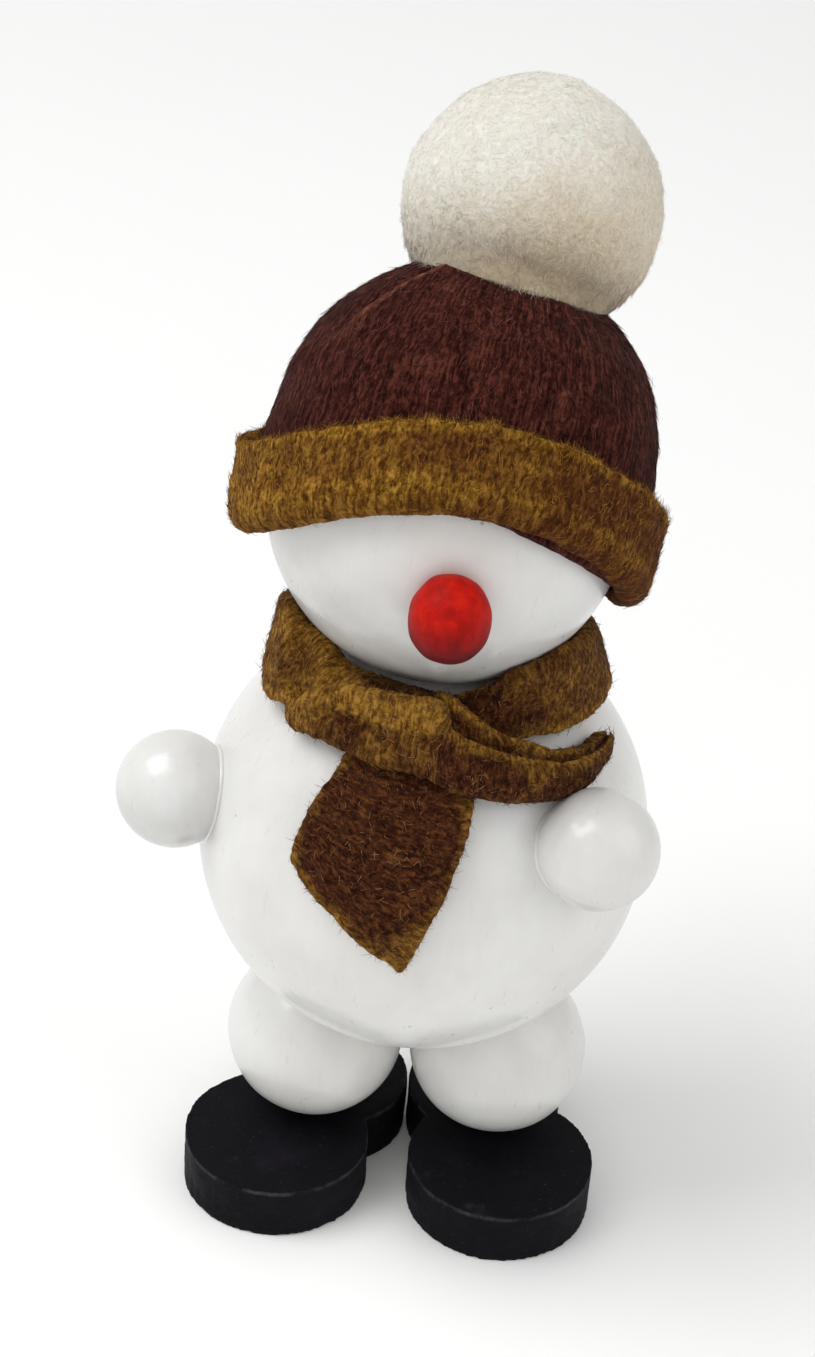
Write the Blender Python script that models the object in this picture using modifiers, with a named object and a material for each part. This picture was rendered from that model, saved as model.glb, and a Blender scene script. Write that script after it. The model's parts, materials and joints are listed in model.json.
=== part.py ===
"""Wooden snowman figure: painted turned balls on dowels, board feet, felt hat and felt scarf.

Metres, +Z up.  The figure stands with its soles on z = 0, faces -Y, and its neck dowel is on
the Z axis.  The head turns on the neck dowel, and the hat pulls off along its own tilted axis.
"""
import math

import bmesh
import bpy
from mathutils import Matrix, Vector

# ---------------------------------------------------------------- driving dimensions
BODY_DIAMETER = 0.0600
HEAD_DIAMETER = 0.0455
LEG_DIAMETER = 0.0248
ARM_DIAMETER = 0.0155
NOSE_DIAMETER = 0.0104
POMPOM_DIAMETER = 0.0324

GAP = 0.0003                 # left between pieces that touch
BORE_CLEARANCE = 0.0002      # all round a dowel in its bore
END_CLEARANCE = 0.0005       # past the end of a dowel in its blind bore

FOOT_THICKNESS = 0.0080
TOE_RADIUS = 0.0130
HEEL_RADIUS = 0.0111
TOE_AHEAD = 0.0097           # toe round's centre in front of the leg
HEEL_BEHIND = 0.0056         # heel round's centre behind the leg
FOOT_EDGE_ROUND = 0.0006
FOOT_SPLAY = {"left": -25.0, "right": 11.0}

LEG_APART = 0.0010           # between the two leg balls
LEG_BACK = 0.0010            # leg centre behind the neck axis
ANKLE_FLAT = 0.0005          # sanded off the bottom of the leg ball
LEG_DISH = 0.0030            # how deep the body ball sits in the leg ball
BODY_NECK_FLAT = 0.0020
HEAD_NECK_FLAT = 0.0021
ARM_DISH = 0.0036            # how deep the body ball sits in the arm ball
NOSE_DISH = 0.0023
ARM_DIRECTION = {"left": (-77.0, 12.0), "right": (46.0, 23.5)}   # round from the front, up
NOSE_DIRECTION = (4.0, -4.3)

NECK_DOWEL = (0.0080, 0.0120, 0.0120)     # diameter, length in the body, length in the head
HIP_DOWEL = (0.0050, 0.0070, 0.0060)      # diameter, length in the body, length in the leg
ANKLE_DOWEL = (0.0040, 0.0060, 0.0060)    # diameter, length in the foot, length in the leg
ARM_DOWEL = (0.0030, 0.0060, 0.0050)      # diameter, length in the body, length in the arm
NOSE_PEG = (0.0025, 0.0050, 0.0040)       # diameter, length in the head, length in the nose

HAT_TILT_BACK = 35.0
HAT_TILT_SIDE = 8.0
FELT = 0.0018                # thickness of the hat's felt
BRIM_FELT = 0.0020
HAT_ROOM = 0.0004            # between the head ball and the felt round its middle
BRIM_HEIGHT = 0.0115
BRIM_FLARE = 0.0004          # its free upper edge stands off a little
BRIM_LEFT_DROP = 0.0093      # lower edge below the middle of the head: over the left ear,
BRIM_RIGHT_DROP = 0.0076     # over the right ear,
BRIM_FRONT_DROP = 0.0044     # over the nose,
BRIM_BACK_DROP = -0.0030     # and behind, where the scarf holds it up above the middle
BRIM_TWIST = 0.0011          # the left dip sits this much deeper in front, the right one behind
HUG = 0.20                   # share of the head ball's narrowing that the felt follows
CROWN_HEIGHT = 0.0288        # from the middle of the head to the flat that carries the pompom
CROWN_TOP_RADIUS = 0.0090
CROWN_TOP_DROP = 0.0004      # the top is a little domed
POMPOM_FLAT = 0.0077         # the pompom's underside is pressed in by this much
POMPOM_ASIDE = 0.0015        # it is sewn on to the right of the crown's middle,
POMPOM_AHEAD = 0.0039        # and in front of it
FOLD_TUCK = 0.0014           # how far the brim's lower edge turns in under the crown
# Brim profile, from its free upper edge down to the fold: share of the brim's height above its
# lower edge, share of the flare outwards, share of the tuck inwards.
BRIM_PROFILE = ((1.0, 1.0, 0.0), (0.6, 0.0, 0.0), (0.2, 0.0, 0.0), (0.08, 0.0, 0.3), (0.0, 0.0, 1.0))

SCARF_FELT = 0.0021
SCARF_LIFT = 0.0010          # air between the felt's inner face and the body ball
FOLD_SIZE = (0.0190, 0.0092, 0.0056)      # along the roll, across it and off the body
FOLD_TURN = -18.0
FOLD_RISE = 51.0
FOLD_LIFT = 0.0032           # fold's middle off the body ball
COLLAR_BELLY = 0.0006        # how far the collar's felt bows out between its edges
CROSSING_ROOM = 0.0012       # between the hanging end and the end thrown over it
FOLD_SINK = 0.0008           # the thrown end starts this much lower, inside the fold
TAIL_STAND_OFF = 0.0010      # and clears the collar's lower edge by this much on the shoulder

# How finely each ball is turned: rings from pole to pole, and twice as many segments round.
RINGS = {"body": 24, "head": 20, "leg": 16, "arm": 12, "nose": 10, "pompom": 16}
HAT_STEPS = 40               # facets round the hat
ROD_EDGE = math.radians(40)  # a rod's edges sharper than this are shaded as edges
BOARD_EDGE = math.radians(50)    # a board's edges sharper than this are rounded

# ---------------------------------------------------------------- places worked out from them
body_radius = BODY_DIAMETER / 2
head_radius = HEAD_DIAMETER / 2
leg_radius = LEG_DIAMETER / 2
arm_radius = ARM_DIAMETER / 2
nose_radius = NOSE_DIAMETER / 2
pompom_radius = POMPOM_DIAMETER / 2

leg_spread = leg_radius + LEG_APART / 2
leg_z = FOOT_THICKNESS + GAP + leg_radius - ANKLE_FLAT
leg_to_body = body_radius + leg_radius - LEG_DISH
body_z = leg_z + math.sqrt(leg_to_body ** 2 - leg_spread ** 2 - LEG_BACK ** 2)
neck_z = body_z + body_radius - BODY_NECK_FLAT
head_z = neck_z + GAP + head_radius - HEAD_NECK_FLAT
body_centre = Vector((0, 0, body_z))
head_centre = Vector((0, 0, head_z))


def direction(round_from_front, up):
    """Unit vector, by its angle round from the front (+ to the figure's +X side) and up."""
    turn = math.radians(round_from_front)
    rise = math.radians(up)
    flat = math.cos(rise)
    return Vector((flat * math.sin(turn), -flat * math.cos(turn), math.sin(rise)))


# ---------------------------------------------------------------- scene, collections, materials
for old in list(bpy.data.objects):
    bpy.data.objects.remove(old, do_unlink=True)

parts = bpy.data.collections.new("wooden_snowman")
cutters = bpy.data.collections.new("cutters")
bpy.context.scene.collection.children.link(parts)
bpy.context.scene.collection.children.link(cutters)


def material(name, colour, roughness):
    made = bpy.data.materials.new(name)
    made.use_nodes = True
    shader = made.node_tree.nodes["Principled BSDF"]
    shader.inputs["Base Color"].default_value = (*colour, 1.0)
    shader.inputs["Roughness"].default_value = roughness
    shader.inputs["Metallic"].default_value = 0.0
    return made


WHITE_PAINT = material("white_paint", (0.83, 0.82, 0.79), 0.42)
RED_PAINT = material("red_paint", (0.66, 0.03, 0.02), 0.50)
BLACK_PAINT = material("black_paint", (0.012, 0.012, 0.013), 0.62)
BEECH = material("beech_dowel", (0.62, 0.45, 0.27), 0.60)
MAROON_FELT = material("maroon_felt", (0.085, 0.028, 0.022), 0.95)
MUSTARD_FELT = material("mustard_felt", (0.30, 0.17, 0.03), 0.95)
BROWN_FELT = material("brown_felt", (0.13, 0.06, 0.018), 0.95)
WOOL = material("white_wool", (0.78, 0.74, 0.66), 0.95)


# ---------------------------------------------------------------- ways of making things
def place(obj, collection, mat=None):
    for home in list(obj.users_collection):
        home.objects.unlink(obj)
    collection.objects.link(obj)
    if mat:
        obj.data.materials.clear()
        obj.data.materials.append(mat)
    if collection is cutters:
        obj.hide_render = True
        obj.display_type = "WIRE"
    return obj


def ball(name, kind, diameter, centre, mat=None, collection=None):
    rings = RINGS[kind]
    bpy.ops.mesh.primitive_uv_sphere_add(segments=2 * rings, ring_count=rings,
                                         radius=diameter / 2, location=centre)
    obj = bpy.context.object
    obj.name = name
    obj.data.shade_smooth()
    return place(obj, collection or parts, mat)


def rod(name, diameter, start, end, mat=None, collection=None, sides=20):
    """A round rod from start to end."""
    span = end - start
    bpy.ops.mesh.primitive_cylinder_add(vertices=sides, radius=diameter / 2, depth=span.length,
                                        location=(start + end) / 2,
                                        rotation=span.to_track_quat("Z", "Y").to_euler())
    obj = bpy.context.object
    obj.name = name
    obj.data.shade_smooth()
    obj.data.set_sharp_from_angle(angle=ROD_EDGE)
    return place(obj, collection or parts, mat)


def cut(obj, cutter):
    modifier = obj.modifiers.new("cut_" + cutter.name, "BOOLEAN")
    modifier.operation = "DIFFERENCE"
    modifier.object = cutter
    return obj


def dowel(name, size, seat, along, first, second, mat=BEECH):
    """A dowel through seat, pointing along, in blind bores in two pieces.

    size is its diameter, its length in the first piece and its length in the second one.
    """
    diameter, into_first, into_second = size
    start = seat - along * into_first
    end = seat + along * into_second
    pin = rod(name, diameter, start, end, mat)
    bore = diameter + 2 * BORE_CLEARANCE
    cutter = rod(name + "_bore", bore, start - along * END_CLEARANCE, end + along * END_CLEARANCE,
                 collection=cutters)
    cut(first, cutter)
    cut(second, cutter)
    return pin


def slab_cutter(name, centre, size):
    bpy.ops.mesh.primitive_cube_add(size=size, location=centre)
    obj = bpy.context.object
    obj.name = name
    return place(obj, cutters)


# ---------------------------------------------------------------- body ball
body = ball("body_ball", "body", BODY_DIAMETER, body_centre, WHITE_PAINT)
cut(body, slab_cutter("body_neck_flat", (0, 0, neck_z + body_radius / 2), body_radius))

# ---------------------------------------------------------------- head ball on the neck dowel
head = ball("head_ball", "head", HEAD_DIAMETER, head_centre, WHITE_PAINT)
cut(head, slab_cutter("head_neck_flat", (0, 0, neck_z + GAP - head_radius / 2), head_radius))
dowel("neck_dowel", NECK_DOWEL, Vector((0, 0, neck_z)), Vector((0, 0, 1)), body, head)

# ---------------------------------------------------------------- nose
nose_out = direction(*NOSE_DIRECTION)
nose = ball("nose_ball", "nose", NOSE_DIAMETER,
            head_centre + nose_out * (head_radius + nose_radius - NOSE_DISH), RED_PAINT)
cut(nose, ball("nose_dish", "head", HEAD_DIAMETER + 2 * GAP, head_centre, collection=cutters))
dowel("nose_peg", NOSE_PEG, head_centre + nose_out * head_radius, nose_out, head, nose)

# ---------------------------------------------------------------- arms
arm_dish = ball("arm_dish", "body", BODY_DIAMETER + 2 * GAP, body_centre, collection=cutters)
for side, angles in ARM_DIRECTION.items():
    out = direction(*angles)
    arm = ball(side + "_arm_ball", "arm", ARM_DIAMETER,
               body_centre + out * (body_radius + arm_radius - ARM_DISH), WHITE_PAINT)
    cut(arm, arm_dish)
    dowel(side + "_arm_dowel", ARM_DOWEL, body_centre + out * body_radius, out, body, arm)


# ---------------------------------------------------------------- feet and legs
def foot_outline():
    """Two rounds, the toe ahead and the heel behind, joined where they cross."""
    span = TOE_AHEAD + HEEL_BEHIND
    waist = (span ** 2 + TOE_RADIUS ** 2 - HEEL_RADIUS ** 2) / (2 * span)
    toe_half = math.pi - math.acos(waist / TOE_RADIUS)
    heel_half = math.pi - math.acos((span - waist) / HEEL_RADIUS)
    points = []
    steps = 20
    for step in range(steps + 1):
        turn = -toe_half + 2 * toe_half * step / steps
        points.append((TOE_RADIUS * math.sin(turn), -TOE_AHEAD - TOE_RADIUS * math.cos(turn)))
    for step in range(1, steps):
        turn = -heel_half + 2 * heel_half * step / steps
        points.append((-HEEL_RADIUS * math.sin(turn), HEEL_BEHIND + HEEL_RADIUS * math.cos(turn)))
    return points


def foot(name, centre, splay):
    """A board foot: its outline as a filled curve, extruded, meshed, with rounded edges."""
    outline = bpy.data.curves.new(name, "CURVE")
    outline.dimensions = "2D"
    outline.fill_mode = "BOTH"
    outline.extrude = FOOT_THICKNESS / 2
    points = foot_outline()
    spline = outline.splines.new("POLY")
    spline.points.add(len(points) - 1)
    for point, (x, y) in zip(spline.points, points):
        point.co = (x, y, 0, 1)
    spline.use_cyclic_u = True
    guide = bpy.data.objects.new(name + "_outline", outline)
    cutters.objects.link(guide)
    bpy.context.view_layer.update()
    solid = bpy.data.meshes.new_from_object(guide.evaluated_get(bpy.context.evaluated_depsgraph_get()))
    bpy.data.objects.remove(guide, do_unlink=True)
    shape = bmesh.new()
    shape.from_mesh(solid)
    bmesh.ops.remove_doubles(shape, verts=shape.verts, dist=0.00001)
    bmesh.ops.recalc_face_normals(shape, faces=shape.faces)
    shape.to_mesh(solid)
    shape.free()
    obj = bpy.data.objects.new(name, solid)
    obj.location = (centre.x, centre.y, FOOT_THICKNESS / 2)
    obj.rotation_euler = (0, 0, math.radians(splay))
    parts.objects.link(obj)
    solid.materials.append(BLACK_PAINT)
    edge = obj.modifiers.new("edge_round", "BEVEL")
    edge.width = FOOT_EDGE_ROUND
    edge.segments = 2
    edge.limit_method = "ANGLE"
    edge.angle_limit = BOARD_EDGE
    return obj


leg_dish = ball("leg_dish", "body", BODY_DIAMETER + 2 * GAP, body_centre, collection=cutters)
ankle_flat = slab_cutter("ankle_flat", (0, 0, FOOT_THICKNESS + GAP - body_radius), BODY_DIAMETER)
for side, sign in (("left", -1), ("right", 1)):
    leg_centre = Vector((sign * leg_spread, LEG_BACK, leg_z))
    leg = ball(side + "_leg_ball", "leg", LEG_DIAMETER, leg_centre, WHITE_PAINT)
    cut(leg, leg_dish)
    cut(leg, ankle_flat)
    board = foot(side + "_foot", leg_centre, FOOT_SPLAY[side])
    up_to_body = (body_centre - leg_centre).normalized()
    dowel(side + "_hip_dowel", HIP_DOWEL, body_centre - up_to_body * body_radius, -up_to_body, body, leg)
    ankle = Vector((leg_centre.x, leg_centre.y, FOOT_THICKNESS))
    dowel(side + "_ankle_dowel", ANKLE_DOWEL, ankle, Vector((0, 0, 1)), board, leg)

# ---------------------------------------------------------------- hat
hat_up = Vector((math.sin(math.radians(HAT_TILT_SIDE)),
                 math.cos(math.radians(HAT_TILT_SIDE)) * math.sin(math.radians(HAT_TILT_BACK)),
                 math.cos(math.radians(HAT_TILT_SIDE)) * math.cos(math.radians(HAT_TILT_BACK))))
hat_front = (Vector((0, -1, 0)) - hat_up * Vector((0, -1, 0)).dot(hat_up)).normalized()
hat_side = hat_up.cross(hat_front)
hat_frame = Matrix((hat_side, -hat_front, hat_up)).transposed().to_4x4()
hat_frame.translation = head_centre
crown_radius = head_radius + HAT_ROOM + FELT


def brim_edge(turn):
    """Height of the brim's lower edge at an angle round the hat from its front."""
    ends = -(BRIM_FRONT_DROP + BRIM_BACK_DROP) / 2
    sides = -(BRIM_LEFT_DROP + BRIM_RIGHT_DROP) / 2
    lean = -(BRIM_FRONT_DROP - BRIM_BACK_DROP) / 2
    tip = (BRIM_LEFT_DROP - BRIM_RIGHT_DROP) / 2
    return ((ends + sides) / 2 + (ends - sides) / 2 * math.cos(2 * turn) + lean * math.cos(turn)
            + tip * math.sin(turn) + BRIM_TWIST * math.sin(2 * turn))


def hug(height):
    """How far the felt draws in below the head's middle, where the head ball narrows."""
    below = min(max(-height, 0.0), 0.9 * head_radius)
    return HUG * (head_radius - math.sqrt(head_radius ** 2 - below ** 2))


def felt_round(name, profile, thickness, mat):
    """Felt laid round the hat's axis from an open profile of (radius, height at a turn).

    The rims dip over the ears, so a ring's height changes as it goes round and a plain turned
    profile can't make it.
    """
    steps = HAT_STEPS
    shape = bmesh.new()
    rings = []
    for radius, height in profile:
        if radius == 0:
            rings.append([shape.verts.new((0, 0, height(0)))])
            continue
        ring = []
        for step in range(steps):
            turn = 2 * math.pi * step / steps
            drawn = radius - hug(height(turn))
            ring.append(shape.verts.new((drawn * math.sin(turn), -drawn * math.cos(turn),
                                         height(turn))))
        rings.append(ring)
    for upper, lower in zip(rings, rings[1:]):
        for step in range(steps):
            after = (step + 1) % steps
            if len(upper) == 1:
                shape.faces.new((upper[0], lower[step], lower[after]))
            else:
                shape.faces.new((upper[step], lower[step], lower[after], upper[after]))
    bmesh.ops.recalc_face_normals(shape, faces=shape.faces)
    mesh = bpy.data.meshes.new(name)
    shape.to_mesh(mesh)
    shape.free()
    obj = bpy.data.objects.new(name, mesh)
    obj.matrix_world = hat_frame
    parts.objects.link(obj)
    mesh.materials.append(mat)
    mesh.shade_smooth()
    skin = obj.modifiers.new("felt", "SOLIDIFY")
    skin.thickness = thickness
    skin.offset = 0.0
    return obj


def level(height):
    return lambda turn: height


def crown_profile():
    """Mid-felt profile: flat under the pompom, a dome over the head, straight down to the fold."""
    middle = crown_radius - FELT / 2
    top = CROWN_HEIGHT - FELT / 2
    points = [(0, level(top)), (CROWN_TOP_RADIUS, level(top - CROWN_TOP_DROP))]
    shoulder = 9
    for step in range(1, shoulder + 1):
        part = math.radians(90 * step / shoulder)
        radius = CROWN_TOP_RADIUS + (middle - CROWN_TOP_RADIUS) * math.sin(part)
        points.append((radius, level((top - CROWN_TOP_DROP) * math.cos(part))))
    points.pop()
    points.append((middle, lambda turn: brim_edge(turn) + 0.5 * BRIM_HEIGHT))
    points.append((middle, lambda turn: brim_edge(turn) + BRIM_FELT))
    return points


crown = felt_round("hat_crown", crown_profile(), FELT, MAROON_FELT)
brim_middle = crown_radius + GAP + BRIM_FELT / 2
brim = felt_round("hat_brim",
                  [(brim_middle + flare * BRIM_FLARE - tuck * FOLD_TUCK,
                    lambda turn, share=share: brim_edge(turn) + share * BRIM_HEIGHT)
                   for share, flare, tuck in BRIM_PROFILE],
                  BRIM_FELT, MUSTARD_FELT)

# ---------------------------------------------------------------- pompom
pompom_height = CROWN_HEIGHT + GAP + pompom_radius - POMPOM_FLAT
pompom_centre = (head_centre + hat_up * pompom_height + hat_side * POMPOM_ASIDE
                 + hat_front * POMPOM_AHEAD)
pompom = ball("pompom", "pompom", POMPOM_DIAMETER, pompom_centre, WOOL)
seat = slab_cutter("pompom_seat", head_centre + hat_up * (CROWN_HEIGHT + GAP - POMPOM_DIAMETER),
                   2 * POMPOM_DIAMETER)
seat.rotation_euler = hat_frame.to_euler()
cut(pompom, seat)

# ---------------------------------------------------------------- scarf
def over_body(turn, rise, lift):
    """A point above the body ball, by its angle round from the front, up, and its distance off."""
    return body_centre + direction(turn, rise) * (body_radius + lift)


def smooth(points, samples, closed):
    """Points of a Catmull-Rom curve through the given ones."""
    count = len(points)
    spans = count if closed else count - 1
    made = []
    for step in range(samples if closed else samples + 1):
        place_on = spans * step / samples
        span = min(int(place_on), spans - 1)
        part = place_on - span
        near = []
        for offset in (-1, 0, 1, 2):
            index = span + offset
            near.append(points[index % count] if closed else points[min(max(index, 0), count - 1)])
        a, b, c, d = near
        made.append(0.5 * (2 * b + (c - a) * part + (2 * a - 5 * b + 4 * c - d) * part ** 2
                           + (3 * b - a - 3 * c + d) * part ** 3))
    return made


def felt_strip(name, upper, lower, samples, collection, closed=False, across=4, belly=0.0):
    """A strip of felt between two edges, following the body ball, bellied outwards by belly."""
    tops = smooth(upper, samples, closed)
    bottoms = smooth(lower, samples, closed)
    shape = bmesh.new()
    rows = []
    for top, bottom in zip(tops, bottoms):
        row = []
        for step in range(across + 1):
            part = step / across
            out = (top.lerp(bottom, part) - body_centre).normalized()
            reach = (top - body_centre).length * (1 - part) + (bottom - body_centre).length * part
            reach += belly * math.sin(math.pi * part)
            row.append(shape.verts.new(body_centre + out * reach))
        rows.append(row)
    pairs = list(zip(rows, rows[1:]))
    if closed:
        pairs.append((rows[-1], rows[0]))
    for here, after in pairs:
        for step in range(across):
            shape.faces.new((here[step], here[step + 1], after[step + 1], after[step]))
    mesh = bpy.data.meshes.new(name)
    shape.to_mesh(mesh)
    shape.free()
    obj = bpy.data.objects.new(name, mesh)
    mesh.shade_smooth()
    skin = obj.modifiers.new("felt", "SOLIDIFY")
    skin.thickness = SCARF_FELT
    skin.offset = 0.0
    return place(obj, collection, BROWN_FELT)


def under_head(turn, below, off):
    """A point off the head ball, by its angle round from the front and below the head's middle."""
    return head_centre + direction(turn, -below) * (head_radius + off)


# Stations round the neck: angle from the front, how far below the head's middle (degrees) and
# off the head ball the upper edge is, then how far up the body ball (degrees) and off it the
# lower edge is.  The collar stands up at the sides and lies flat behind, under the hat.
COLLAR = ((0, 41.7, 0.0027, 50.0, 0.0046), (35, 33.2, 0.0016, 48.1, 0.0036),
          (62, 29.5, 0.0019, 46.2, 0.0030), (90, 39.7, 0.0035, 45.5, 0.0028),
          (125, 45.2, 0.0042, 44.8, 0.0027), (180, 45.7, 0.0040, 45.2, 0.0027),
          (230, 44.8, 0.0039, 46.0, 0.0025), (265, 40.7, 0.0032, 47.2, 0.0024),
          (295, 31.4, 0.0015, 47.2, 0.0024), (325, 33.1, 0.0015, 48.3, 0.0035))
scarf = felt_strip("scarf",
                   [under_head(turn, below, off) for turn, below, off, _, _ in COLLAR],
                   [over_body(turn, rise, lift) for turn, _, _, rise, lift in COLLAR],
                   48, parts, closed=True, across=3, belly=COLLAR_BELLY)

# Each end is given by its upper and lower edges, as angles round from the front and up the body
# ball.  The end that hangs lies on the body; the end thrown over it starts in the fold and clears
# the collar's lower edge before it comes down on the shoulder.
under = SCARF_LIFT + SCARF_FELT / 2
over = under + SCARF_FELT + CROSSING_ROOM
in_fold = over - FOLD_SINK
on_shoulder = under + TAIL_STAND_OFF
HANGING_TAIL = (((-24, 50), (-28, 40), (-30, 31), (-32, 19)),
                ((17, 50), (15, 38), (9, 20), (-1, -2)))
hanging = felt_strip("hanging_tail",
                     *[[over_body(turn, rise, under) for turn, rise in edge] for edge in HANGING_TAIL],
                     10, cutters, across=6)
THROWN_TAIL = (((-24, 53, in_fold), (0, 55, over), (20, 53, over), (38, 48, over),
                (54, 44, on_shoulder), (73, 42, under)),
               ((-24, 49, in_fold), (0, 44, over), (20, 39, over), (36, 37, over),
                (50, 37, on_shoulder), (68, 39, under)))
thrown = felt_strip("thrown_tail",
                    *[[over_body(*station) for station in edge] for edge in THROWN_TAIL],
                    14, cutters, across=4)

# The fold where the two ends cross is a soft roll lying across the front.
fold_out = direction(FOLD_TURN, FOLD_RISE)
bpy.ops.mesh.primitive_uv_sphere_add(segments=24, ring_count=12, radius=0.5)
fold = place(bpy.context.object, cutters)
fold.name = "scarf_fold"
across_fold = Vector((0, 0, 1)).cross(fold_out).normalized()
fold_frame = Matrix((across_fold, fold_out.cross(across_fold), fold_out)).transposed().to_4x4()
fold.matrix_world = (Matrix.Translation(body_centre + fold_out * (body_radius + FOLD_LIFT)) @ fold_frame
                     @ Matrix.Diagonal((*FOLD_SIZE, 1.0)))
for end in (fold, hanging, thrown):
    join = scarf.modifiers.new("joined_" + end.name, "BOOLEAN")
    join.operation = "UNION"
    join.object = end

# ---------------------------------------------------------------- origin under the middle
bpy.context.view_layer.update()
shown = bpy.context.evaluated_depsgraph_get()
corners = [obj.matrix_world @ vertex.co for obj in parts.objects
           for vertex in obj.evaluated_get(shown).data.vertices]
middle = Vector((-(min(c.x for c in corners) + max(c.x for c in corners)) / 2,
                 -(min(c.y for c in corners) + max(c.y for c in corners)) / 2, 0))
stand = bpy.data.objects.new("figure_stand", None)
parts.objects.link(stand)
for obj in [*parts.objects, *cutters.objects]:
    if obj is not stand:
        obj.parent = stand
stand.location = middle
bpy.context.view_layer.update()

# The values record.json states for its mounts and joints.
print("neck axis and head centre:", [round(v, 6) for v in (middle + head_centre)])
print("hat axis:", [round(v, 6) for v in hat_up])
for sign in (-1, 1):
    print("sole flat:", [round(v, 6) for v in (middle + Vector((sign * leg_spread, LEG_BACK, 0)))])
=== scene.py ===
"""Looks of the wooden snowman figure: painted balls, black board feet, felt hat and felt scarf."""
import json
import math

import bpy
import numpy as np
from mathutils import Matrix, Vector, noise


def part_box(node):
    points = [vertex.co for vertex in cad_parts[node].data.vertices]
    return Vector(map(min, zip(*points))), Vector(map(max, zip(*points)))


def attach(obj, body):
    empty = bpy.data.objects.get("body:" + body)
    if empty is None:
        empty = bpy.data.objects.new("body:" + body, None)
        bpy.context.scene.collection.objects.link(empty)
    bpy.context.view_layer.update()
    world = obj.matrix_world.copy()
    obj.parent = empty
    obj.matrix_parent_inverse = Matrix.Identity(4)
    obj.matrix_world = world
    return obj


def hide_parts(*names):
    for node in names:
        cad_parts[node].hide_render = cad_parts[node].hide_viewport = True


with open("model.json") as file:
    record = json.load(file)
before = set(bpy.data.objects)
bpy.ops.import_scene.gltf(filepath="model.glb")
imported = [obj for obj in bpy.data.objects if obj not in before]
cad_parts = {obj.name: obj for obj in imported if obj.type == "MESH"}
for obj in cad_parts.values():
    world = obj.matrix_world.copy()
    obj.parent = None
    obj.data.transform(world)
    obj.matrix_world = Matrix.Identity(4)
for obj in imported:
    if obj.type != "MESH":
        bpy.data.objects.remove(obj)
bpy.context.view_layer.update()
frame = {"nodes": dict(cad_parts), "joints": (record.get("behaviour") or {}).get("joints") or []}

MM = 0.001

# ------------------------------------------------------------------ camera, light and floor
# The figure stands on a plain pale floor that runs up behind it, lit by a big soft box above its
# left side, weaker ones in front and on the right, and a white sky.  The camera is close, looks
# down on it and is rolled a little.
joints = {joint["name"]: joint for joint in frame["joints"]}
neck = Vector(joints["head_turn"]["pos_m"])


def aim_camera():
    turn, rise, roll = math.radians(1.86), math.radians(31.85), math.radians(4.2)
    reach, aside, height = 356 * MM, -3.5 * MM, 80 * MM
    back = Vector((math.cos(rise) * math.sin(turn), -math.cos(rise) * math.cos(turn), math.sin(rise)))
    level = Vector((math.cos(turn), math.sin(turn), 0))
    up = back.cross(level)
    target = Vector((neck.x, neck.y, height)) + level * aside
    right = level * math.cos(roll) + up * math.sin(roll)
    lens = bpy.data.cameras.new("camera")
    lens.sensor_fit = "VERTICAL"
    lens.sensor_height = 24
    lens.lens = 48.5
    lens.clip_start = 0.01
    lens.clip_end = 10
    camera = bpy.data.objects.new("camera", lens)
    bpy.context.scene.collection.objects.link(camera)
    turned = Matrix((right, back.cross(right), back)).transposed().to_4x4()
    turned.translation = target + back * reach
    camera.matrix_world = turned
    bpy.context.scene.camera = camera


def soft_box(name, place, size, power):
    lamp = bpy.data.lights.new(name, "AREA")
    lamp.size = size
    lamp.energy = power
    light = bpy.data.objects.new(name, lamp)
    bpy.context.scene.collection.objects.link(light)
    light.location = place
    aim = Vector((neck.x, neck.y, 0.08)) - Vector(place)
    light.rotation_euler = aim.to_track_quat("-Z", "Y").to_euler()


def clean_slate():
    """Out of edit mode, with nothing selected."""
    if bpy.context.mode != "OBJECT":
        bpy.ops.object.mode_set(mode="OBJECT")
    bpy.ops.object.select_all(action="DESELECT")


def pick_only(piece):
    clean_slate()
    piece.select_set(True)
    bpy.context.view_layer.objects.active = piece


def new_material(name, **settings):
    """A material, its shader, and a maker of its nodes."""
    made = bpy.data.materials.new(name)
    made.use_nodes = True
    shader = made.node_tree.nodes["Principled BSDF"]
    for socket, value in settings.items():
        shader.inputs[socket.replace("_", " ")].default_value = value

    def node(kind, values=(), **properties):
        fresh = made.node_tree.nodes.new("ShaderNode" + kind)
        for key, value in properties.items():
            setattr(fresh, key, value)
        for socket, value in dict(values).items():
            if isinstance(value, bpy.types.NodeSocket):
                made.node_tree.links.new(value, fresh.inputs[socket])
            else:
                fresh.inputs[socket].default_value = value
        return fresh

    def link(output, socket):
        made.node_tree.links.new(output, shader.inputs[socket])

    return made, node, link


def clouds(node, place, scale, detail=2.0, roughness=0.5, distortion=0.0):
    """Noise, with its clouds so many to the unit of place."""
    return node("TexNoise", {"Vector": place, "Scale": scale, "Detail": detail, "Roughness": roughness,
                             "Distortion": distortion}).outputs[0]


def colours(node, factor, *stops):
    """A ramp from stops of (place, colour)."""
    ramp = node("ValToRGB", {0: factor})
    while len(ramp.color_ramp.elements) < len(stops):
        ramp.color_ramp.elements.new(0.5)
    for element, (place, colour) in zip(ramp.color_ramp.elements, stops):
        element.position = place
        element.color = (*colour, 1)
    return ramp.outputs[0]


def tones(node, factor, low, high, bottom=0.0, top=1.0):
    """A plain number from low to high as factor goes from bottom to top."""
    ranged = node("MapRange", {0: factor, 1: bottom, 2: top, 3: low, 4: high})
    return ranged.outputs[0]


def mixed(node, factor, first, second, how="MIX"):
    blend = node("Mix", {0: factor, 6: first, 7: second}, data_type="RGBA", blend_type=how)
    return blend.outputs[2]


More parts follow.
